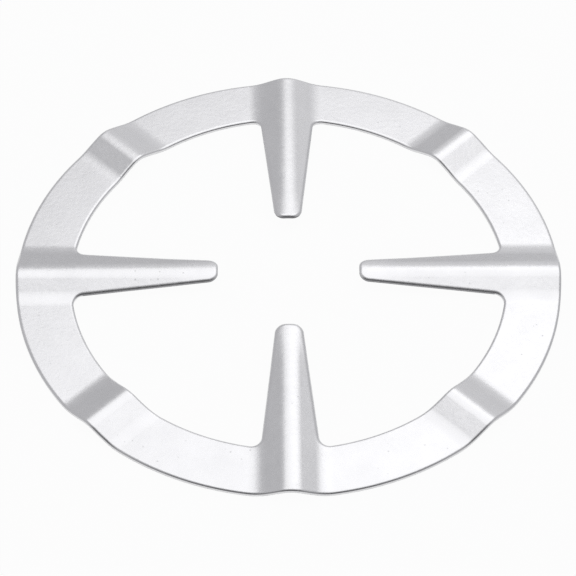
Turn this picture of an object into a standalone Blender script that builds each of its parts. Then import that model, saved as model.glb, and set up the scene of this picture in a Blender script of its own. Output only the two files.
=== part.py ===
"""Reducer ring for a gas hob, pressed from one sheet of stainless steel.

The ring lies on the hob's pan support, centred on a small burner, and its four
fingers carry a pan that is too small for the support's own arms. It is one
blank with the thickness of the sheet: a flat ring whose four fingers point
inwards, stiffened by ridges that are pressed up from below. A long ridge runs
out along each finger and across the ring, and a short ridge crosses the ring
half-way between two fingers. The long ridges open out towards the fingertips,
where they are less steep. The pan stands on the ridges' crests.

Frame: metres, +Z up. The origin is the ring's centre, level with the underside
of its flats, and the first finger lies along +X.
"""

import math
from dataclasses import dataclass

import bmesh
import bpy
from mathutils import Matrix, Vector

# Driving dimensions: the ring
OUTER_DIAMETER = 0.140
BAND_WIDTH = 0.0142
SHEET_THICKNESS = 0.0010
EDGE_ROUNDING = 0.00025

# Driving dimensions: the fingers, seen from above
FINGER_COUNT = 4
TIP_OPENING = 0.0364
FINGER_TIP_WIDTH = 0.0068
FINGER_ROOT_WIDTH = 0.0146
TIP_CORNER_RADIUS = 0.0027
ROOT_FILLET_RADIUS = 0.0025

# Driving dimensions: how the long ridge opens out towards the fingertip
RUN_OUT_LENGTH = 0.0140
RUN_OUT_SIDE_LIFT = 0.0002

# Driving dimensions: the ridges, in section. Radii are those inside each bend.
LONG_RIDGE_RISE = 0.0023
LONG_RIDGE_WIDTH = 0.0208
LONG_CREST_INSIDE_RADIUS = 0.0085
LONG_FOOT_INSIDE_RADIUS = 0.0138
SHORT_RIDGE_RISE = 0.0023
SHORT_RIDGE_WIDTH = 0.0207
SHORT_CREST_INSIDE_RADIUS = 0.0072
SHORT_FOOT_INSIDE_RADIUS = 0.0130

# How finely curves are divided
CHORD_ERROR = 0.000012
BEND_STEP = math.radians(5.0)
RUN_OUT_STEPS = 6
SNAP_DISTANCE = 0.00002
WELD_DISTANCE = 0.000002

# Sizes that follow from the ones above
OUTER_RADIUS = OUTER_DIAMETER / 2
INNER_RADIUS = OUTER_RADIUS - BAND_WIDTH
TIP_RADIUS = TIP_OPENING / 2
FINGER_PITCH = math.tau / FINGER_COUNT
HALF_SEGMENT = FINGER_PITCH / 4
SIDE_SLOPE = (FINGER_ROOT_WIDTH - FINGER_TIP_WIDTH) / 2 / (INNER_RADIUS - TIP_RADIUS)


@dataclass(frozen=True)
class Ridge:
    """A pressed ridge, whose section is a crest arc, a straight flank and a foot arc.

    The section is that of the sheet's upper side. The crest's radius there is
    the inside radius plus the sheet, and the foot is bent the other way, so its
    inside radius is the upper side's own. Over its run-out the ridge opens out
    towards the fingertip: its crest stays level and its sides come up by the
    side lift.
    """

    rise: float
    width: float
    crest_inside_radius: float
    foot_inside_radius: float
    run_out_length: float = 0.0
    side_lift: float = 0.0

    @property
    def half_width(self) -> float:
        """Distance from the ridge's centre line to where the flat begins."""
        return self.width / 2

    @property
    def fit(self) -> float:
        """Share of the wanted radii for which the width has room."""
        wanted = self.crest_inside_radius + SHEET_THICKNESS + self.foot_inside_radius
        room = (self.half_width**2 + self.rise**2) / (2 * self.rise)
        return min(1.0, room / wanted)

    @property
    def crest_radius(self) -> float:
        """Radius of the crest on the upper side."""
        return (self.crest_inside_radius + SHEET_THICKNESS) * self.fit

    @property
    def foot_radius(self) -> float:
        """Radius of the foot on the upper side."""
        return self.foot_inside_radius * self.fit

    @property
    def flank_angle(self) -> float:
        """Slope of the straight flank, which touches the crest and foot arcs."""
        radii = self.crest_radius + self.foot_radius
        lift = radii - self.rise
        centre_distance = math.hypot(self.half_width, lift)
        return math.asin(min(1.0, radii / centre_distance)) - math.atan2(lift, self.half_width)

    def bend_lines(self) -> list[float]:
        """Distances from the centre line at which the sheet changes its slope."""
        steps = math.ceil(self.flank_angle / BEND_STEP)
        angles = [self.flank_angle * step / steps for step in range(steps + 1)]
        crest = [self.crest_radius * math.sin(angle) for angle in angles]
        foot = [self.half_width - self.foot_radius * math.sin(angle) for angle in angles]
        return crest + foot[::-1]

    def cross_lines(self) -> list[float]:
        """Distances from the ring's centre at which the run-out is divided."""
        if self.run_out_length == 0.0:
            return []
        step = self.run_out_length / RUN_OUT_STEPS
        return [TIP_RADIUS + step * count for count in range(1, RUN_OUT_STEPS + 1)]

    def steepness(self, along: float) -> float:
        """Share of the full section's fall that is left at a distance from the ring's centre."""
        if self.run_out_length == 0.0:
            return 1.0
        tip_fall = self.rise - self.section(FINGER_TIP_WIDTH / 2)
        opened = min(1.0, self.side_lift / tip_fall)
        part = min(1.0, max(0.0, (along - TIP_RADIUS) / self.run_out_length))
        return 1.0 - opened * (1.0 - part * part * (3.0 - 2.0 * part))

    def height(self, along: float, across: float) -> float:
        """Height of the upper side over the flats, the run-out included."""
        fall = self.rise - self.section(across)
        return self.rise - fall * self.steepness(along)

    def section(self, across: float) -> float:
        """Height of the full section over the flats, at a distance from the centre line."""
        across = abs(across)
        crest_end = self.crest_radius * math.sin(self.flank_angle)
        foot_start = self.half_width - self.foot_radius * math.sin(self.flank_angle)
        if across >= self.half_width:
            return 0.0
        if across <= crest_end:
            return self.rise - self.crest_radius + math.sqrt(self.crest_radius**2 - across**2)
        if across >= foot_start:
            inwards = self.half_width - across
            return self.foot_radius - math.sqrt(self.foot_radius**2 - inwards**2)
        foot_top = self.foot_radius * (1 - math.cos(self.flank_angle))
        return foot_top + (foot_start - across) * math.tan(self.flank_angle)


LONG_RIDGE = Ridge(
    LONG_RIDGE_RISE,
    LONG_RIDGE_WIDTH,
    LONG_CREST_INSIDE_RADIUS,
    LONG_FOOT_INSIDE_RADIUS,
    RUN_OUT_LENGTH,
    RUN_OUT_SIDE_LIFT,
)
SHORT_RIDGE = Ridge(
    SHORT_RIDGE_RISE, SHORT_RIDGE_WIDTH, SHORT_CREST_INSIDE_RADIUS, SHORT_FOOT_INSIDE_RADIUS
)


def clear_scene() -> None:
    """Remove every object that the scene starts with."""
    for thing in list(bpy.data.objects):
        bpy.data.objects.remove(thing, do_unlink=True)


def arc(centre: Vector, radius: float, start: float, end: float) -> list[Vector]:
    """Points along an arc, both ends included, within CHORD_ERROR of the true curve."""
    widest = 2 * math.acos(1 - CHORD_ERROR / radius)
    steps = max(1, math.ceil(abs(end - start) / widest))
    angles = [start + (end - start) * step / steps for step in range(steps + 1)]
    return [centre + radius * Vector((math.cos(angle), math.sin(angle), 0)) for angle in angles]


def band_edges(inner_start: float) -> list[Vector]:
    """Outer edge of half a segment from its axis, then its inner edge back to inner_start."""
    centre = Vector((0, 0, 0))
    outer = arc(centre, OUTER_RADIUS, 0, HALF_SEGMENT)
    inner = arc(centre, INNER_RADIUS, HALF_SEGMENT, inner_start)
    return outer + inner


def root_fillet() -> tuple[Vector, float, float]:
    """Centre of the fillet from a finger's side to the ring, and where it meets the two.

    The fillet touches the tapered side and the ring's inner edge from within the
    opening. Its two angles are those of the points where it leaves the ring and
    where it reaches the finger's side.
    """
    side_angle = math.atan(SIDE_SLOPE)
    offset = FINGER_ROOT_WIDTH / 2 + ROOT_FILLET_RADIUS / math.cos(side_angle)
    reach = INNER_RADIUS - ROOT_FILLET_RADIUS
    base = offset - SIDE_SLOPE * INNER_RADIUS
    spread = 1 + SIDE_SLOPE**2
    root = math.sqrt(reach**2 * spread - base**2)
    x = (root - SIDE_SLOPE * base) / spread
    centre = Vector((x, base + SIDE_SLOPE * x, 0))
    ring_angle = math.atan2(centre.y, centre.x)
    return centre, ring_angle, side_angle - math.pi / 2


def tip_corner() -> list[Vector]:
    """The rounded corner of a finger's tip, from its tapered side to its end."""
    side_angle = math.atan(SIDE_SLOPE)
    full_round = FINGER_TIP_WIDTH / 2 * math.cos(side_angle) / (1 - math.sin(side_angle))
    radius = min(TIP_CORNER_RADIUS, full_round)
    level = FINGER_TIP_WIDTH / 2 + SIDE_SLOPE * radius - radius / math.cos(side_angle)
    centre = Vector((TIP_RADIUS + radius, max(0.0, level), 0))
    return arc(centre, radius, side_angle + math.pi / 2, math.pi)


def half_finger_outline() -> list[Vector]:
    """Half a finger and the ring beside it, on the +Y side of the finger's axis."""
    fillet_centre, ring_angle, side_angle = root_fillet()
    ring_edges = band_edges(ring_angle)
    fillet = arc(fillet_centre, ROOT_FILLET_RADIUS, ring_angle, side_angle)
    tip_middle = Vector((TIP_RADIUS, 0, 0))
    return ring_edges + fillet[1:] + tip_corner() + [tip_middle]


def half_link_outline() -> list[Vector]:
    """Half of the ring between two fingers, on the +Y side of the short ridge's axis."""
    return band_edges(0.0)


def press_half(outline: list[Vector], ridge: Ridge) -> bmesh.types.BMesh:
    """Cut a flat half segment along its ridge's bend lines and press the ridge up.

    Between two bend lines the sheet stays flat, so every strip is a plane face,
    apart from the run-out, which is cut across as well.

    Args:
        outline: The half segment seen from above, with its ridge along the X axis.
        ridge: The section to press.

    Returns:
        The upper side of the pressed half segment.
    """
    sheet = bmesh.new()
    blank = sheet.faces.new([sheet.verts.new(point) for point in outline])
    blank.normal_update()
    if blank.normal.z < 0:
        bmesh.ops.reverse_faces(sheet, faces=[blank])
    bmesh.ops.remove_doubles(sheet, verts=sheet.verts, dist=WELD_DISTANCE)
    cuts = [((0, across, 0), (0, 1, 0)) for across in ridge.bend_lines()]
    cuts += [((along, 0, 0), (1, 0, 0)) for along in ridge.cross_lines()]
    for place, normal in cuts:
        bmesh.ops.bisect_plane(
            sheet,
            geom=sheet.verts[:] + sheet.edges[:] + sheet.faces[:],
            dist=SNAP_DISTANCE,
            plane_co=place,
            plane_no=normal,
        )
    for vert in sheet.verts:
        vert.co.z = SHEET_THICKNESS + ridge.height(vert.co.x, vert.co.y)
    return sheet


def mirrored_segment(half: bmesh.types.BMesh, turn: float) -> bpy.types.Mesh:
    """Mirror a half segment over its ridge's centre line and turn it into place."""
    bmesh.ops.mirror(
        half,
        geom=half.verts[:] + half.edges[:] + half.faces[:],
        axis="Y",
        merge_dist=WELD_DISTANCE,
    )
    bmesh.ops.rotate(
        half, verts=half.verts, cent=(0, 0, 0), matrix=Matrix.Rotation(turn, 3, "Z")
    )
    segment = bpy.data.meshes.new("segment")
    half.to_mesh(segment)
    half.free()
    return segment


def pressed_sheet() -> bpy.types.Mesh:
    """The upper side of the whole ring: segments round the centre, welded into one sheet."""
    sheet = bmesh.new()
    finger = mirrored_segment(press_half(half_finger_outline(), LONG_RIDGE), 0.0)
    link = mirrored_segment(press_half(half_link_outline(), SHORT_RIDGE), FINGER_PITCH / 2)
    for segment in (finger, link):
        sheet.from_mesh(segment)
        bpy.data.meshes.remove(segment)
    bmesh.ops.spin(
        sheet,
        geom=sheet.verts[:] + sheet.edges[:] + sheet.faces[:],
        cent=(0, 0, 0),
        axis=(0, 0, 1),
        angle=FINGER_PITCH * (FINGER_COUNT - 1),
        steps=FINGER_COUNT - 1,
        use_duplicate=True,
    )
    bmesh.ops.remove_doubles(sheet, verts=sheet.verts, dist=WELD_DISTANCE)
    downwards = [face for face in sheet.faces if face.normal.z < 0]
    bmesh.ops.reverse_faces(sheet, faces=downwards)
    mesh = bpy.data.meshes.new("reducer_ring")
    sheet.to_mesh(mesh)
    sheet.free()
    return mesh


def satin_steel() -> bpy.types.Material:
    """Satin stainless steel, as rolled and pressed."""
    steel = bpy.data.materials.new("satin_steel")
    steel.use_nodes = True
    shader = steel.node_tree.nodes["Principled BSDF"]
    shader.inputs["Base Color"].default_value = (0.72, 0.72, 0.73, 1.0)
    shader.inputs["Metallic"].default_value = 1.0
    shader.inputs["Roughness"].default_value = 0.38
    return steel


def reducer_ring() -> bpy.types.Object:
    """The pressed ring with its sheet's thickness and its cut edges rounded."""
    ring = bpy.data.objects.new("reducer_ring", pressed_sheet())
    bpy.context.scene.collection.objects.link(ring)
    ring.data.materials.append(satin_steel())

    thickness = ring.modifiers.new("sheet_thickness", "SOLIDIFY")
    thickness.thickness = SHEET_THICKNESS
    thickness.offset = -1.0
    thickness.use_even_offset = True
    thickness.use_quality_normals = True

    rounding = ring.modifiers.new("cut_edges", "BEVEL")
    rounding.width = EDGE_ROUNDING
    rounding.segments = 1
    rounding.limit_method = "ANGLE"
    rounding.angle_limit = math.radians(60)

    ring.data.shade_smooth()
    ring.data.set_sharp_from_angle(angle=math.radians(30))
    return ring


clear_scene()
reducer_ring()
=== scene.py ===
"""A gas hob reducer ring in satin stainless steel, dressed for its studio picture.

The ring is blanked from one sheet, and its ridges are pressed up from below. The
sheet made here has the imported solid's sizes, with closer bends, rolled cut edges
and the finish of the metal. Metres, +Z up: the ring's centre is the origin, level
with the underside of its flats, and the first finger lies along +X.
"""

import logging
import math
from dataclasses import dataclass
from enum import Enum

import bmesh
import bpy
from mathutils import Matrix, Vector


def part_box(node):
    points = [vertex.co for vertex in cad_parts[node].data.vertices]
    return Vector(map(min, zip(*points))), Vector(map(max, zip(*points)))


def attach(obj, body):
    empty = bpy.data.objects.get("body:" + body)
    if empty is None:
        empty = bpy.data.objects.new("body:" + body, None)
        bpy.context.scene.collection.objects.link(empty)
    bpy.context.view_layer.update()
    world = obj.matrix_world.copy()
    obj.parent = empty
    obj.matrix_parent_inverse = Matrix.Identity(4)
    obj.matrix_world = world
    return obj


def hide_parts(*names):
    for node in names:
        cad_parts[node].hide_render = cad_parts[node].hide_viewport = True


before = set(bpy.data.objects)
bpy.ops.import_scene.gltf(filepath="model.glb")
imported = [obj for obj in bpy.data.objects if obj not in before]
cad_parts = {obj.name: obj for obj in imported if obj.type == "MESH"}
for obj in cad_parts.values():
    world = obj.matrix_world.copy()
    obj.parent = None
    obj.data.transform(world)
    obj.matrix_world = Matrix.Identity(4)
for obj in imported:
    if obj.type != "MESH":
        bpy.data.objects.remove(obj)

LOG = logging.getLogger("reducer_ring")
CENTRE = Vector((0.0, 0.0, 0.0))
UPWARDS = Vector((0.0, 0.0, 1.0))
# Points this close are welded, and points this close to a bend line are put on it.
WELD_DISTANCE = 2e-6
SNAP_DISTANCE = 7e-5
# Faces steeper than this are the cut edge.
CUT_FACE_SLOPE = math.radians(60)
# The middle of a noise, and of the way from a finish's dark colour to its light one.
HALF_WAY = 0.5


class Surface(Enum):
    """The surfaces of the sheet. Each value is the place of its finish on the ring."""

    ROLLED = 0
    BURNISHED = 1
    # The torn part of the cut edge, whose dark colour is partly painted shade; a finger's whole
    # sides get it as painted shade.
    TORN = 2


@dataclass(frozen=True)
class Signal:
    """A value that varies over a surface. Python's arithmetic on it adds Math nodes.

    Attributes:
        bench: The node tree it belongs to.
        socket: The socket that gives it out.
    """

    bench: "NodeBench"
    socket: bpy.types.NodeSocket

    def _combine(self, operation: str, left: object, right: object) -> "Signal":
        """Add the Math node of one operation.

        Args:
            operation: Blender's name of the operation.
            left: The first value, a signal or a number.
            right: The second value, a signal or a number.

        Returns:
            The result as a signal.
        """
        node = self.bench.add("ShaderNodeMath", {"operation": operation}, {0: left, 1: right})
        return Signal(self.bench, node.outputs[0])

    def __add__(self, other: object) -> "Signal":
        """Add another value."""
        return self._combine("ADD", self, other)

    def __radd__(self, other: object) -> "Signal":
        """Add this signal to a number."""
        return self._combine("ADD", other, self)

    def __sub__(self, other: object) -> "Signal":
        """Take another value away."""
        return self._combine("SUBTRACT", self, other)

    def __rsub__(self, other: object) -> "Signal":
        """Take this signal away from a number."""
        return self._combine("SUBTRACT", other, self)

    def __mul__(self, other: object) -> "Signal":
        """Multiply by another value."""
        return self._combine("MULTIPLY", self, other)

    def __rmul__(self, other: object) -> "Signal":
        """Multiply a number by this signal."""
        return self._combine("MULTIPLY", other, self)


class NodeBench:
    """A node tree, with short ways to add to it."""

    def __init__(self, tree: bpy.types.NodeTree) -> None:
        """Take up a node tree.

        Args:
            tree: The tree of a material or a world.
        """
        self.tree = tree

    def add(
        self,
        kind: str,
        settings: dict[str, object] | None = None,
        inputs: dict[str | int, object] | None = None,
    ) -> bpy.types.Node:
        """Add a node to the tree.

        Args:
            kind: The node's type.
            settings: Its own settings, by name.
            inputs: What its sockets hold or are linked to, by name or place.

        Returns:
            The node.
        """
        node = self.tree.nodes.new(kind)
        for name, value in (settings or {}).items():
            setattr(node, name, value)
        for key, value in (inputs or {}).items():
            self.feed(node.inputs[key], value)
        return node

    def feed(self, socket: bpy.types.NodeSocket, value: object) -> None:
        """Link a socket to what feeds it, or set it to a plain value.

        Args:
            socket: The socket.
            value: A signal, another socket, a number, a colour or a vector.
        """
        source = value.socket if isinstance(value, Signal) else value
        if isinstance(source, bpy.types.NodeSocket):
            self.tree.links.new(source, socket)
        else:
            socket.default_value = source

    def between(self, value: Signal, start: float, end: float) -> Signal:
        """Turn a stretch of a signal into a rise from 0 to 1.

        Args:
            value: The signal.
            start: Where it gives 0.
            end: Where it gives 1, which may be lower than the start.

        Returns:
            The rise, with 0 before the stretch and 1 after it.
        """
        inputs = {"Value": value, "From Min": start, "From Max": end}
        ranged = self.add("ShaderNodeMapRange", {"clamp": True}, inputs)
        return Signal(self, ranged.outputs[0])


@dataclass(frozen=True)
class Strokes:
    """How a set of scratches runs.

    Attributes:
        turn: Their direction, in degrees from the X axis.
        length: How long they are.
        width: How wide they are.
        least: How high the pattern must rise to show, from 0 to 0.25.
        fade: How much higher it must rise to show in full.
    """

    turn: float
    length: float
    width: float
    least: float
    fade: float = 0.05


class FinishBench(NodeBench):
    """The node tree of one finish, with the patterns that finishes are made of."""

    def __init__(self, name: str) -> None:
        """Start a material on a bare surface shader.

        Args:
            name: The finish's name.
        """
        self.material = bpy.data.materials.new(name)
        self.material.use_nodes = True
        super().__init__(self.material.node_tree)
        self.shader = self.tree.nodes["Principled BSDF"]
        self.place = self.add("ShaderNodeTexCoord").outputs["Object"]

    def noise(
        self, size: float, detail: float, place: bpy.types.NodeSocket | None = None
    ) -> Signal:
        """A cloudy pattern.

        Args:
            size: Size of its largest clouds, in metres.
            detail: How many finer layers it has.
            place: The coordinates it lies on, if not those of the piece.

        Returns:
            A signal round 0, mostly between -0.25 and 0.25.
        """
        inputs = {"Vector": place or self.place, "Scale": 1 / size, "Detail": detail}
        cloud = self.add("ShaderNodeTexNoise", {"noise_dimensions": "3D"}, inputs)
        return Signal(self, cloud.outputs[0]) - HALF_WAY

    def specks(self, spacing: float, size: float) -> Signal:
        """Small round specks, scattered over the surface.

        Args:
            spacing: Mean distance between two specks.
            size: Diameter of a speck.

        Returns:
            1 in the middle third of a speck and 0 outside the speck.
        """
        inputs = {"Vector": self.place, "Scale": 1 / spacing}
        cells = self.add("ShaderNodeTexVoronoi", {"feature": "F1"}, inputs)
        edge = size / 2 / spacing
        return self.between(Signal(self, cells.outputs["Distance"]), edge, edge / 3)

    def scratches(self, strokes: Strokes) -> Signal:
        """Fine scratches that run one way.

        Args:
            strokes: How they run, and their size.

        Returns:
            1 on a scratch and 0 beside it.
        """
        lengthways = self.add(
            "ShaderNodeMapping",
            {"vector_type": "TEXTURE"},
            {"Vector": self.place, "Rotation": (0, 0, math.radians(strokes.turn))},
        )
        stretch = (1 / strokes.length, 1 / strokes.width, 1 / strokes.length)
        stretched = self.add(
            "ShaderNodeVectorMath",
            {"operation": "MULTIPLY"},
            {0: lengthways.outputs[0], 1: stretch},
        )
        streaks = self.noise(size=1.0, detail=1.0, place=stretched.outputs[0])
        return self.between(streaks, strokes.least, strokes.least + strokes.fade)

    def blend(
        self, share: Signal, dark: tuple[float, ...], light: tuple[float, ...]
    ) -> bpy.types.NodeSocket:
        """Mix two colours.

        Args:
            share: The light colour's share.
            dark: The dark colour.
            light: The light colour.

        Returns:
            The socket that gives out the mixed colour.
        """
        settings = {"data_type": "RGBA", "clamp_factor": True}
        mixed = self.add("ShaderNodeMix", settings, {"Factor": share})
        colour_inputs = [socket for socket in mixed.inputs if socket.type == "RGBA"]
        for socket, colour in zip(colour_inputs, (dark, light)):
            self.feed(socket, (*colour, 1.0))
        return next(socket for socket in mixed.outputs if socket.type == "RGBA")

    def emboss(self, height: Signal) -> None:
        """Give the surface a relief.

        Args:
            height: Its height, in metres.
        """
        inputs = {"Strength": 1.0, "Distance": 1.0, "Height": height}
        relief = self.add("ShaderNodeBump", None, inputs)
        self.feed(self.shader.inputs["Normal"], relief.outputs["Normal"])


@dataclass(frozen=True)
class SteelFinish:
    """Stainless steel as it comes off the tool, tumbled to a satin.

    Attributes:
        name: The material's name.
        light: The steel's colour where the grain is bright.
        dark: Its colour where the grain is dull.
        roughness: How far it scatters what it mirrors.
        roughness_swing: How much the grain changes that.
        grain_size: Size of the grain.
        grain_depth: Height of the grain's relief.
        mottle_size: Size of the wide, faint clouds.
        scratch_depth: Depth of the scratches.
        pore_size: Size of the pores in the grain, as a share of the grain's.
        pore_depth: Depth of the pores, as a share of the grain's.
        speck_spacing: Mean distance between two specks.
        speck_size: Diameter of a speck.
        speck_patches: Size of the patches that have specks.
        patch_edge: Where in their pattern such patches begin and are in full.
        grain_tone: How much the grain lightens the colour.
        mottle_tone: How much the clouds do.
        speck_tone: How much a speck darkens it.
        scratch_tone: How much a scratch does.
        speck_roughness: How much rougher a speck is.
        scratch_roughness: How much rougher a scratch is.
        rising: The scratches that run one way.
        falling: The scratches across them.
    """

    name: str
    light: tuple[float, float, float]
    dark: tuple[float, float, float]
    roughness: float
    roughness_swing: float
    grain_size: float
    grain_depth: float
    mottle_size: float
    scratch_depth: float = 1.5e-6
    pore_size: float = 0.4
    pore_depth: float = 0.2
    speck_spacing: float = 0.0026
    speck_size: float = 0.0006
    speck_patches: float = 0.011
    patch_edge: tuple[float, float] = (-0.02, 0.08)
    grain_tone: float = 0.3
    mottle_tone: float = 0.6
    speck_tone: float = 1.3
    scratch_tone: float = 0.15
    speck_roughness: float = 0.2
    scratch_roughness: float = 0.05
    rising: Strokes = Strokes(turn=38.0, length=0.006, width=0.00022, least=0.24)
    falling: Strokes = Strokes(turn=-52.0, length=0.009, width=0.00018, least=0.26)

    def material(self) -> bpy.types.Material:
        """Build the finish as a node material.

        Returns:
            The material.
        """
        bench = FinishBench(self.name)
        grain = bench.noise(self.grain_size, detail=2.0)
        pores = bench.noise(self.grain_size * self.pore_size, detail=1.0)
        mottle = bench.noise(self.mottle_size, detail=2.0)
        strewn = bench.between(bench.noise(self.speck_patches, detail=1.0), *self.patch_edge)
        specks = bench.specks(self.speck_spacing, self.speck_size) * strewn
        scratches = bench.scratches(self.rising) + bench.scratches(self.falling)
        brightness = HALF_WAY + grain * self.grain_tone + mottle * self.mottle_tone
        brightness = brightness - specks * self.speck_tone - scratches * self.scratch_tone
        roughness = self.roughness + grain * self.roughness_swing
        roughness = roughness + specks * self.speck_roughness + scratches * self.scratch_roughness
        height = (grain + pores * self.pore_depth) * self.grain_depth
        height = height - scratches * self.scratch_depth
        colour = bench.blend(brightness, self.dark, self.light)
        bench.feed(bench.shader.inputs["Base Color"], colour)
        bench.feed(bench.shader.inputs["Metallic"], 1.0)
        bench.feed(bench.shader.inputs["Roughness"], roughness)
        bench.emboss(height)
        return bench.material


SATIN_STEEL = SteelFinish(
    name="satin_steel",
    light=(0.854, 0.853, 0.862),
    dark=(0.716, 0.715, 0.724),
    roughness=0.262,
    roughness_swing=0.11,
    grain_size=0.0012,
    grain_depth=1.7e-5,
    mottle_size=0.007,
)

BURNISHED_STEEL = SteelFinish(
    name="burnished_steel",
    light=(0.88, 0.88, 0.89),
    dark=(0.74, 0.74, 0.75),
    roughness=0.30,
    roughness_swing=0.3,
    grain_size=0.0004,
    grain_depth=6e-6,
    mottle_size=0.003,
)

# The torn part of the cut edge: duller than the rolled steel, and darkened further as painted shade
# for the shadowed floor that it mirrors.
TORN_STEEL_AND_PAINTED_SHADE = SteelFinish(
    name="torn_steel_and_painted_shade",
    light=(0.30, 0.30, 0.31),
    dark=(0.12, 0.12, 0.125),
    roughness=0.48,
    roughness_swing=0.3,
    grain_size=0.0003,
    grain_depth=1.2e-5,
    mottle_size=0.003,
)


def eased(part: float) -> float:
    """Rise from 0 to 1 along a way, level at both ends.

    Args:
        part: How much of the way is done, which may be less than none or more than all.

    Returns:
        How much of the rise is done.
    """
    part = min(1.0, max(0.0, part))
    return part * part * (3.0 - 2.0 * part)


@dataclass(frozen=True)
class Ridge:
    """A ridge pressed up in the sheet, described by its upper side.

    Attributes:
        rise: Height of the crest over the flats.
        width: Distance between the flats on its two sides.
        crest_radius: Radius of the crest.
        foot_radius: Radius of the bend from a flank to its flat.
        tip_radius: Distance of the fingertip from the ring's centre.
        tip_width: Width of the fingertip.
        run_out_length: Length over which the ridge opens out to the fingertip, or 0.
        side_lift: How far the fingertip's sides come up there.
    """

    rise: float
    width: float
    crest_radius: float
    foot_radius: float
    tip_radius: float = 0.0
    tip_width: float = 0.0
    run_out_length: float = 0.0
    side_lift: float = 0.0

    @property
    def half_width(self) -> float:
        """Distance from the ridge's centre line to where the flat begins."""
        return self.width / 2

    @property
    def flank_angle(self) -> float:
        """Slope of the straight flank, which touches the crest and foot arcs.

        Returns:
            The angle to the flats.
        """
        radii = self.crest_radius + self.foot_radius
        lift = radii - self.rise
        centre_distance = math.hypot(self.half_width, lift)
        return math.asin(radii / centre_distance) - math.atan2(lift, self.half_width)

    def bend_lines(self, widest: float) -> list[float]:
        """Distances from the centre line at which the sheet changes its slope.

        Args:
            widest: The largest change of slope at one line.

        Returns:
            The distances, in order.
        """
        steps = math.ceil(self.flank_angle / widest)
        angles = [self.flank_angle * step / steps for step in range(steps + 1)]
        crest = [self.crest_radius * math.sin(angle) for angle in angles]
        foot = [self.half_width - self.foot_radius * math.sin(angle) for angle in angles]
        return crest + foot[::-1]

    def cross_lines(self, pitch: float) -> list[float]:
        """Distances from the ring's centre at which the run-out is divided.

        Args:
            pitch: The distance wanted between two lines.

        Returns:
            The distances, in order, or none for a ridge without a run-out.
        """
        steps = round(self.run_out_length / pitch)
        return [
            self.tip_radius + self.run_out_length * count / steps for count in range(1, steps + 1)
        ]

    def section(self, across: float) -> float:
        """Height of the upper side where the ridge has its full section.

        Args:
            across: The distance from the ridge's centre line.

        Returns:
            The height over the flats.
        """
        across = abs(across)
        crest_end = self.crest_radius * math.sin(self.flank_angle)
        foot_start = self.half_width - self.foot_radius * math.sin(self.flank_angle)
        if across >= self.half_width:
            return 0.0
        if across <= crest_end:
            return self.rise - self.crest_radius + math.sqrt(self.crest_radius**2 - across**2)
        if across >= foot_start:
            inwards = self.half_width - across
            return self.foot_radius - math.sqrt(self.foot_radius**2 - inwards**2)
        foot_top = self.foot_radius * (1 - math.cos(self.flank_angle))
        return foot_top + (foot_start - across) * math.tan(self.flank_angle)

    def steepness(self, along: float) -> float:
        """How steep the ridge still is where it opens out.

        Args:
            along: The distance from the ring's centre.

        Returns:
            The share that is left of the full section's fall.
        """
        if self.run_out_length == 0.0:
            return 1.0
        opened = self.side_lift / (self.rise - self.section(self.tip_width / 2))
        return 1.0 - opened * (1.0 - eased((along - self.tip_radius) / self.run_out_length))

    def height(self, along: float, across: float) -> float:
        """Height of the upper side over the flats, the run-out included."""
        return self.rise - (self.rise - self.section(across)) * self.steepness(along)


class ScribedOutline:
    """An outline of straight runs and arcs, each from where the last one ended."""

    def __init__(self, start: Vector, widest_step: float) -> None:
        """Put the scriber down.

        Args:
            start: Where the outline starts.
            widest_step: The largest distance between two points of an arc.
        """
        self.sheet = bmesh.new()
        self.first = self.sheet.verts.new(start)
        self.end = self.first
        self.widest_step = widest_step

    def run_to(self, point: Vector) -> None:
        """Scribe a straight run.

        Args:
            point: Where it ends.
        """
        drawn = bmesh.ops.extrude_vert_indiv(self.sheet, verts=[self.end])
        self.end = drawn["verts"][0]
        self.end.co = point

    def arc_round(self, centre: Vector, angle: float, least_steps: int = 12) -> None:
        """Scribe an arc round a centre.

        Args:
            centre: The arc's centre.
            angle: How far it goes, anticlockwise if positive.
            least_steps: The fewest steps it is drawn in.
        """
        length = (self.end.co - centre).length * abs(angle)
        drawn = bmesh.ops.spin(
            self.sheet,
            geom=[self.end],
            cent=centre,
            axis=UPWARDS,
            angle=angle,
            steps=max(least_steps, math.ceil(length / self.widest_step)),
            use_merge=False,
        )
        self.end = next(item for item in drawn["geom_last"] if isinstance(item, bmesh.types.BMVert))

    def filled(self) -> bmesh.types.BMesh:
        """Close the outline with a straight run and fill it.

        Returns:
            The sheet, of one face that looks up.
        """
        self.sheet.edges.new((self.end, self.first))
        bmesh.ops.contextual_create(self.sheet, geom=self.sheet.edges[:])
        face_upwards(self.sheet)
        return self.sheet


def face_upwards(sheet: bmesh.types.BMesh) -> None:
    """Turn round the faces that look down.

    Args:
        sheet: The open sheet.
    """
    sheet.normal_update()
    downwards = [face for face in sheet.faces if face.normal.z < 0]
    bmesh.ops.reverse_faces(sheet, faces=downwards)


def polar(radius: float, angle: float) -> Vector:
    """The point of the ground plane at a radius and an angle."""
    return Vector((radius * math.cos(angle), radius * math.sin(angle), 0.0))


def joined(sheets: list[bmesh.types.BMesh]) -> bmesh.types.BMesh:
    """Gather several sheets into one and let go of them.

    Args:
        sheets: The sheets.

    Returns:
        The one sheet.
    """
    whole = bmesh.new()
    for sheet in sheets:
        part = bpy.data.meshes.new("part_of_sheet")
        sheet.to_mesh(part)
        whole.from_mesh(part)
        bpy.data.meshes.remove(part)
        sheet.free()
    return whole


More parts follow.
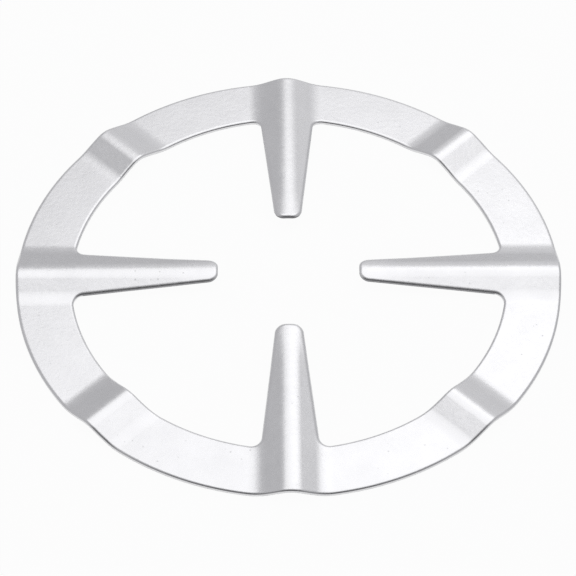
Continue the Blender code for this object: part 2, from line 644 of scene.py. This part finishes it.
@dataclass
class PressedRing:
    """The reducer ring: a flat blank with four fingers, its ridges and its rolled edges.

    Attributes:
        outer_radius: Radius of the ring's outer edge.
        crest_level: Height of the crests over the underside of the flats.
        sheet: Thickness of the metal.
        band_width: Width of the ring.
        fingers: How many fingers it has.
        tip_radius: Distance of the fingertips from the centre.
        tip_width: Width of a fingertip.
        root_width: Width of a finger where it leaves the ring.
        tip_corner: Radius of a fingertip's corners.
        root_fillet: Radius between a finger and the ring.
        long_width: Width of the ridge along a finger.
        long_crest: Radius of its crest, on the upper side.
        long_foot: Radius of its feet, on the upper side.
        run_out: Length over which it opens out to the fingertip.
        side_lift: How far the fingertip's sides come up there.
        short_width: Width of the ridge between two fingers.
        short_crest: Radius of its crest, on the upper side.
        short_foot: Radius of its feet, on the upper side.
        upper_roll: How far the upper side comes down to the cut edge.
        under_roll: How far the underside comes up to it.
        rim_roll: How far inside the ring's outline that begins.
        finger_roll: How far inside a finger's outline it begins.
        roll_power: How late the roll turns down on its way to the cut edge.
        roll_steps: How many faces it has.
        cut_lines: How many lines divide the cut edge.
        bend_step: The largest change of slope at one bend line.
        arc_step: The largest distance between two points of the outline.
        run_out_pitch: Distance between the lines that divide the run-out.
    """

    outer_radius: float
    crest_level: float
    sheet: float = 0.0010
    band_width: float = 0.0142
    fingers: int = 4
    tip_radius: float = 0.0182
    tip_width: float = 0.0068
    root_width: float = 0.0146
    tip_corner: float = 0.0027
    root_fillet: float = 0.0025
    long_width: float = 0.0208
    long_crest: float = 0.0085
    long_foot: float = 0.0138
    run_out: float = 0.0140
    side_lift: float = 0.0002
    short_width: float = 0.0207
    short_crest: float = 0.0072
    short_foot: float = 0.0130
    upper_roll: float = 0.00034
    under_roll: float = 0.00008
    rim_roll: float = 0.0009
    finger_roll: float = 0.0010
    roll_power: int = 3
    roll_steps: int = 10
    cut_lines: int = 3
    bend_step: float = math.radians(2.0)
    arc_step: float = 0.0006
    run_out_pitch: float = 0.0010

    @property
    def inner_radius(self) -> float:
        """Radius of the ring's inner edge."""
        return self.outer_radius - self.band_width

    @property
    def pitch(self) -> float:
        """Angle from one finger to the next."""
        return math.tau / self.fingers

    @property
    def half_segment(self) -> float:
        """Angle from a ridge to the middle of the flat beside it."""
        return self.pitch / 4

    @property
    def side_angle(self) -> float:
        """Angle between a finger's side and its centre line."""
        length = self.inner_radius - self.tip_radius
        return math.atan((self.root_width - self.tip_width) / 2 / length)

    @property
    def long_ridge(self) -> Ridge:
        """The ridge along a finger and across the ring.

        Returns:
            The ridge.
        """
        return Ridge(
            self.crest_level - self.sheet,
            self.long_width,
            self.long_crest,
            self.long_foot,
            self.tip_radius,
            self.tip_width,
            self.run_out,
            self.side_lift,
        )

    @property
    def short_ridge(self) -> Ridge:
        """The ridge across the ring between two fingers."""
        rise = self.crest_level - self.sheet
        return Ridge(rise, self.short_width, self.short_crest, self.short_foot)

    def root_fillet_centre(self) -> Vector:
        """Place the fillet that touches a finger's side and the ring's inner edge.

        Returns:
            Its centre.
        """
        slope = math.tan(self.side_angle)
        base = self.root_width / 2 + self.root_fillet / math.cos(self.side_angle)
        base -= slope * self.inner_radius
        reach = self.inner_radius - self.root_fillet
        spread = 1 + slope**2
        x = (math.sqrt(reach**2 * spread - base**2) - slope * base) / spread
        return Vector((x, base + slope * x, 0.0))

    def tip_corner_centre(self) -> Vector:
        """Place the rounding that touches a finger's side and its end.

        Returns:
            Its centre.
        """
        inset = self.tip_corner / math.cos(self.side_angle)
        inset -= self.tip_corner * math.tan(self.side_angle)
        return Vector((self.tip_radius + self.tip_corner, self.tip_width / 2 - inset, 0.0))

    def half_finger(self) -> bmesh.types.BMesh:
        """Cut half a finger and the ring beside it, flat.

        Returns:
            The sheet, on the +Y side of the X axis.
        """
        fillet = self.root_fillet_centre()
        fillet_start = math.atan2(fillet.y, fillet.x)
        fillet_end = self.side_angle - math.pi / 2
        corner = self.tip_corner_centre()
        outline = ScribedOutline(polar(self.outer_radius, 0.0), self.arc_step)
        outline.arc_round(CENTRE, self.half_segment)
        outline.run_to(polar(self.inner_radius, self.half_segment))
        outline.arc_round(CENTRE, fillet_start - self.half_segment)
        outline.arc_round(fillet, fillet_end - fillet_start)
        outline.run_to(corner + polar(self.tip_corner, self.side_angle + math.pi / 2))
        outline.arc_round(corner, math.pi / 2 - self.side_angle)
        outline.run_to(polar(self.tip_radius, 0.0))
        return outline.filled()

    def half_link(self) -> bmesh.types.BMesh:
        """Cut half of the ring between two fingers, flat.

        Returns:
            The sheet, on the +Y side of the X axis.
        """
        outline = ScribedOutline(polar(self.outer_radius, 0.0), self.arc_step)
        outline.arc_round(CENTRE, self.half_segment)
        outline.run_to(polar(self.inner_radius, self.half_segment))
        outline.arc_round(CENTRE, -self.half_segment)
        return outline.filled()

    def all_round(
        self, half_finger: bmesh.types.BMesh, half_link: bmesh.types.BMesh
    ) -> bmesh.types.BMesh:
        """Mirror each half segment over its ridge, and repeat the two round the centre.

        Args:
            half_finger: Half a finger's segment, beside the X axis.
            half_link: Half the segment between two fingers, beside the X axis.

        Returns:
            The whole sheet, welded, with its faces looking up.
        """
        for half, turn in ((half_finger, 0.0), (half_link, self.pitch / 2)):
            geometry = half.verts[:] + half.edges[:] + half.faces[:]
            bmesh.ops.mirror(half, geom=geometry, axis="Y", merge_dist=WELD_DISTANCE)
            turned = Matrix.Rotation(turn, 3, "Z")
            bmesh.ops.rotate(half, verts=half.verts, cent=CENTRE, matrix=turned)
        whole = joined([half_finger, half_link])
        bmesh.ops.spin(
            whole,
            geom=whole.verts[:] + whole.edges[:] + whole.faces[:],
            cent=CENTRE,
            axis=UPWARDS,
            angle=self.pitch * (self.fingers - 1),
            steps=self.fingers - 1,
            use_duplicate=True,
        )
        bmesh.ops.remove_doubles(whole, verts=whole.verts, dist=WELD_DISTANCE)
        face_upwards(whole)
        return whole

    def roll_fall(self, radius: float, inwards: float) -> float:
        """Share of the roll's depth that is left inside the outline.

        Args:
            radius: Distance from the ring's centre.
            inwards: Distance from the outline.

        Returns:
            1 on the outline and 0 where the roll begins.
        """
        along_finger = min(1.0, max(0.0, (self.inner_radius - radius) / self.root_fillet))
        reach = self.rim_roll + (self.finger_roll - self.rim_roll) * along_finger
        left = max(0.0, 1.0 - inwards / reach)
        return left**self.roll_power

    def scribe_roll(self, blank: bmesh.types.BMesh) -> None:
        """Draw the lines of the rolled edge inside the outline, and note how far each one falls.

        Each line's share of the fall goes to the vertices' layer named fall.

        Args:
            blank: The flat blank.
        """
        fall = blank.verts.layers.float.new("fall")
        plate = blank.faces[:]
        drawn = 0.0
        for step in range(self.roll_steps + 1):
            angle = math.pi / 2 * step / self.roll_steps
            inwards = self.finger_roll * (1 - math.cos(angle))
            if inwards > drawn:
                bmesh.ops.inset_region(
                    blank,
                    faces=plate,
                    use_boundary=True,
                    use_even_offset=True,
                    thickness=inwards - drawn,
                )
            drawn = inwards
            for edge in blank.edges:
                if sum(face in plate for face in edge.link_faces) == 1:
                    for vert in edge.verts:
                        vert[fall] = self.roll_fall(vert.co.length, inwards)

    def half_of(self, blank: bmesh.types.BMesh, ridge_angle: float) -> bmesh.types.BMesh:
        """Copy the half segment to the left of a ridge, turned to lie beside the X axis.

        Args:
            blank: The flat blank.
            ridge_angle: The direction of the ridge.

        Returns:
            The half segment.
        """
        half = blank.copy()
        back = Matrix.Rotation(-ridge_angle, 3, "Z")
        bmesh.ops.rotate(half, verts=half.verts, cent=CENTRE, matrix=back)
        outside = []
        for face in half.faces:
            middle = face.calc_center_median()
            if not 0 < math.atan2(middle.y, middle.x) < self.half_segment:
                outside.append(face)
        bmesh.ops.delete(half, geom=outside, context="FACES")
        return half

    def press(self, half: bmesh.types.BMesh, ridge: Ridge) -> bmesh.types.BMesh:
        """Cut a flat half segment along its bend lines and press its ridge up.

        Args:
            half: The half segment, with its ridge along the X axis.
            ridge: The ridge to press.

        Returns:
            The same half segment, pressed.
        """
        cuts = [((0, across, 0), (0, 1, 0)) for across in ridge.bend_lines(self.bend_step)]
        cuts += [((along, 0, 0), (1, 0, 0)) for along in ridge.cross_lines(self.run_out_pitch)]
        for place, normal in cuts:
            bmesh.ops.bisect_plane(
                half,
                geom=half.verts[:] + half.edges[:] + half.faces[:],
                dist=SNAP_DISTANCE,
                plane_co=place,
                plane_no=normal,
            )
        for vert in half.verts:
            vert.co.z = self.sheet + ridge.height(vert.co.x, vert.co.y)
        return half

    def thicken(self, sheet: bmesh.types.BMesh) -> None:
        """Give the sheet its thickness below the upper side, and roll its cut edges.

        Args:
            sheet: The upper side.
        """
        bmesh.ops.solidify(sheet, geom=sheet.faces[:], thickness=self.sheet)
        sheet.normal_update()
        fall = sheet.verts.layers.float["fall"]
        level = math.cos(CUT_FACE_SLOPE)
        cut = [face for face in sheet.faces if abs(face.normal.z) < level]
        upper = {vert for face in sheet.faces if face.normal.z > level for vert in face.verts}
        for vert in sheet.verts:
            if vert in upper:
                vert.co.z -= self.upper_roll * vert[fall]
            else:
                vert.co.z += self.under_roll * vert[fall]
        self.part_cut(sheet, cut, upper)

    def part_cut(
        self,
        sheet: bmesh.types.BMesh,
        cut: list[bmesh.types.BMFace],
        upper: set[bmesh.types.BMVert],
    ) -> None:
        """Divide the cut edge into the part the tool rubbed and the dark part that tore, partly
        painted shade.

        The ring's edges tear at their foot; a finger's sides are given the torn finish over their
        whole height as painted shade.

        Args:
            sheet: The thick sheet.
            cut: The faces of its cut edge.
            upper: The points of its upper side.
        """
        # Every cut face starts dark; on a finger's sides it stays dark over the whole height, as
        # painted shade.
        for face in cut:
            face.material_index = Surface.TORN.value
        rungs = [edge for edge in sheet.edges if len(upper.intersection(edge.verts)) == 1]
        lower = {vert for face in cut for vert in face.verts} - upper
        bmesh.ops.subdivide_edges(sheet, edges=rungs, cuts=self.cut_lines)
        finger_start = self.inner_radius - self.root_fillet
        for face in sheet.faces:
            on_ring = face.calc_center_median().xy.length > finger_start
            if face.material_index == Surface.TORN.value and on_ring:
                if not lower.intersection(face.verts):
                    face.material_index = Surface.BURNISHED.value

    def build(self) -> bpy.types.Object:
        """Make the ring.

        Returns:
            Its object.
        """
        blank = self.all_round(self.half_finger(), self.half_link())
        self.scribe_roll(blank)
        half_finger = self.press(self.half_of(blank, 0.0), self.long_ridge)
        half_link = self.press(self.half_of(blank, self.pitch / 2), self.short_ridge)
        blank.free()
        sheet = self.all_round(half_finger, half_link)
        self.thicken(sheet)
        mesh = bpy.data.meshes.new("pressed_ring")
        sheet.to_mesh(mesh)
        sheet.free()
        mesh.shade_smooth()
        ring = bpy.data.objects.new("pressed_ring", mesh)
        bpy.context.scene.collection.objects.link(ring)
        ring.modifiers.new("even_shading", "WEIGHTED_NORMAL")
        return ring

    def dress(self, ring: bpy.types.Object) -> None:
        """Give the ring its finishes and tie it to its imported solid.

        Args:
            ring: The ring's object.
        """
        finishes = {
            Surface.ROLLED: SATIN_STEEL,
            Surface.BURNISHED: BURNISHED_STEEL,
            Surface.TORN: TORN_STEEL_AND_PAINTED_SHADE,
        }
        for surface in Surface:
            ring.data.materials.append(finishes[surface].material())
        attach(ring, "root")
        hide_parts("reducer_ring")


def direction(azimuth: float, elevation: float) -> Vector:
    """The way from the ring to a camera or lamp.

    Args:
        azimuth: Its azimuth from -Y, in degrees.
        elevation: Its elevation, in degrees.

    Returns:
        The way, of length 1.
    """
    turn, lift = math.radians(azimuth), math.radians(elevation)
    return Vector(
        (math.sin(turn) * math.cos(lift), -math.cos(turn) * math.cos(lift), math.sin(lift))
    )


def facing(back: Vector, roll: float = 0.0) -> Matrix:
    """The turn of a camera or lamp that looks at something.

    Args:
        back: The way from that to itself, of length 1 and not straight up.
        roll: How far it leans anticlockwise, in radians.

    Returns:
        The rotation.
    """
    right = UPWARDS.cross(back).normalized()
    upright = Matrix((right, back.cross(right), back)).transposed()
    return (upright @ Matrix.Rotation(roll, 3, "Z")).to_4x4()


@dataclass(frozen=True)
class StudioCamera:
    """The camera, at the photograph's angle.

    Attributes:
        level: Height of the point in the middle of its picture.
        middle: Where that point is along X and Y.
        azimuth: Its azimuth from -Y, in degrees.
        elevation: Its elevation, in degrees.
        distance: Its distance from that point.
        roll: How far it leans, in degrees.
        lens: Its focal length in millimetres.
        film: The side of its square film in millimetres.
        nearest: The least distance at which it sees.
    """

    level: float
    middle: tuple[float, float] = (-0.00018, -0.00466)
    azimuth: float = -0.717
    elevation: float = 49.40
    distance: float = 0.6114
    roll: float = 0.299
    lens: float = 149.09
    film: float = 36.0
    nearest: float = 0.01

    def build(self) -> bpy.types.Object:
        """Make the camera and put it to use.

        Returns:
            The camera.
        """
        settings = bpy.data.cameras.new("studio_camera")
        settings.lens = self.lens
        settings.sensor_width = self.film
        settings.clip_start = self.nearest
        camera = bpy.data.objects.new("studio_camera", settings)
        bpy.context.scene.collection.objects.link(camera)
        back = direction(self.azimuth, self.elevation)
        target = Vector((*self.middle, self.level))
        place = Matrix.Translation(target + back * self.distance)
        camera.matrix_world = place @ facing(back, math.radians(self.roll))
        bpy.context.scene.camera = camera
        return camera


@dataclass(frozen=True)
class SoftBox:
    """A round studio lamp that faces the ring.

    Attributes:
        name: What the lamp is called.
        azimuth: Its azimuth from -Y, in degrees.
        elevation: Its elevation, in degrees.
        distance: Its distance from the ring.
        diameter: Its diameter.
        brightness: How much its face adds to the room's brightness, where 1 is white.
    """

    name: str
    azimuth: float
    elevation: float
    distance: float
    diameter: float
    brightness: float

    def build(self) -> bpy.types.Object:
        """Make the lamp.

        Returns:
            The lamp.
        """
        settings = bpy.data.lights.new(self.name, "AREA")
        settings.shape = "DISK"
        settings.size = self.diameter
        face = math.pi * (self.diameter / 2) ** 2
        settings.energy = math.pi * self.brightness * face
        lamp = bpy.data.objects.new(self.name, settings)
        bpy.context.scene.collection.objects.link(lamp)
        back = direction(self.azimuth, self.elevation)
        lamp.matrix_world = Matrix.Translation(back * self.distance) @ facing(back)
        return lamp


STUDIO_LAMPS = (
    SoftBox("overhead_box", 165.0, 68.5, distance=1.0, diameter=1.0, brightness=0.712),
    SoftBox("far_box", 161.0, 34.5, distance=1.0, diameter=0.85, brightness=0.18),
)


@dataclass(frozen=True)
class Studio:
    """The floor, the soft lamps and the grey room round them.

    Attributes:
        lamps: The soft boxes.
        room: Brightness of the room.
        room_tint: Colour of the room's light, a little cooler than the lamps'.
        camera_side: Brightness round the camera, where black cloth hangs.
        cloth_side: Where the cloth begins and is in full, as Y of the way to it.
        cloth_foot: Where it begins and is in full, as Z of the way to it.
        floor_size: The floor's side.
        floor_drop: Distance of the floor below the ring.
        paper: Colour of the floor.
        paper_roughness: Roughness of the floor.
        floor_glow: Share of the floor's white that its shadow doesn't reach.
        mirrored_glow: The same share where the floor shows in the metal.
    """

    lamps: tuple[SoftBox, ...]
    room: float = 0.54
    room_tint: tuple[float, float, float, float] = (1.0, 0.998, 1.026, 1.0)
    camera_side: float = 0.06
    cloth_side: tuple[float, float] = (-0.15, -0.5)
    cloth_foot: tuple[float, float] = (0.45, 0.68)
    floor_size: float = 6.0
    floor_drop: float = 0.00002
    paper: tuple[float, float, float, float] = (0.9, 0.9, 0.9, 1.0)
    paper_roughness: float = 0.9
    floor_glow: float = 0.95
    mirrored_glow: float = 0.75

    def build(self) -> None:
        """Make the lamps, the room and the floor, and set the plain view."""
        for lamp in self.lamps:
            lamp.build()
            LOG.info("lamp %s: brightness %.2f", lamp.name, lamp.brightness)
        bpy.context.scene.world = self.walls()
        bpy.context.scene.view_settings.view_transform = "Standard"
        self.floor()

    def walls(self) -> bpy.types.World:
        """Light the room, with the dark place round the camera.

        Returns:
            The room's light.
        """
        world = bpy.data.worlds.new("studio_room")
        world.use_nodes = True
        bench = NodeBench(world.node_tree)
        place = bench.add("ShaderNodeTexCoord").outputs["Generated"]
        parts = bench.add("ShaderNodeSeparateXYZ", None, {"Vector": place})
        forward = bench.between(Signal(bench, parts.outputs["Y"]), *self.cloth_side)
        raised = bench.between(Signal(bench, parts.outputs["Z"]), *self.cloth_foot)
        brightness = self.room - forward * raised * (self.room - self.camera_side)
        background = bench.tree.nodes["Background"]
        bench.feed(background.inputs["Color"], self.room_tint)
        bench.feed(background.inputs["Strength"], brightness)
        return world

    def floor(self) -> bpy.types.Object:
        """Lay the white floor, which keeps a faint shadow of the ring.

        Returns:
            The floor.
        """
        shape = bmesh.new()
        bmesh.ops.create_grid(shape, x_segments=1, y_segments=1, size=self.floor_size / 2)
        bmesh.ops.translate(shape, verts=shape.verts, vec=-UPWARDS * self.floor_drop)
        mesh = bpy.data.meshes.new("studio_floor")
        shape.to_mesh(mesh)
        shape.free()
        floor = bpy.data.objects.new("studio_floor", mesh)
        bpy.context.scene.collection.objects.link(floor)
        mesh.materials.append(self.floor_white())
        return floor

    def floor_white(self) -> bpy.types.Material:
        """Make white paper, whose white shows evenly to the camera and in the metal.

        Returns:
            The material.
        """
        bench = FinishBench("white_paper")
        rays = bench.add("ShaderNodeLightPath")
        seen = Signal(bench, rays.outputs["Is Camera Ray"])
        mirrored = Signal(bench, rays.outputs["Is Glossy Ray"])
        mirrored = mirrored + Signal(bench, rays.outputs["Is Transmission Ray"])
        bench.feed(bench.shader.inputs["Base Color"], self.paper)
        bench.feed(bench.shader.inputs["Roughness"], self.paper_roughness)
        bench.feed(bench.shader.inputs["Specular IOR Level"], 0.0)
        glow = bench.add("ShaderNodeEmission", None, {"Strength": 1.0})
        share = seen * self.floor_glow + mirrored * self.mirrored_glow
        inputs = {0: share, 1: bench.shader.outputs[0], 2: glow.outputs[0]}
        mixed = bench.add("ShaderNodeMixShader", None, inputs)
        bench.feed(bench.tree.nodes["Material Output"].inputs["Surface"], mixed.outputs[0])
        return bench.material


def main() -> None:
    """Build the ring, its studio and its camera."""
    logging.basicConfig(level=logging.INFO, format="%(message)s")
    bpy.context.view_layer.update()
    low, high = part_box("reducer_ring")
    design = PressedRing(outer_radius=(high.x - low.x) / 2, crest_level=high.z)
    ring = design.build()
    design.dress(ring)
    LOG.info("%s: %d faces", ring.name, len(ring.data.polygons))
    Studio(STUDIO_LAMPS).build()
    camera = StudioCamera(level=design.sheet).build()
    LOG.info("%s: lens %.1f mm", camera.name, camera.data.lens)


if __name__ == "__main__":
    main()
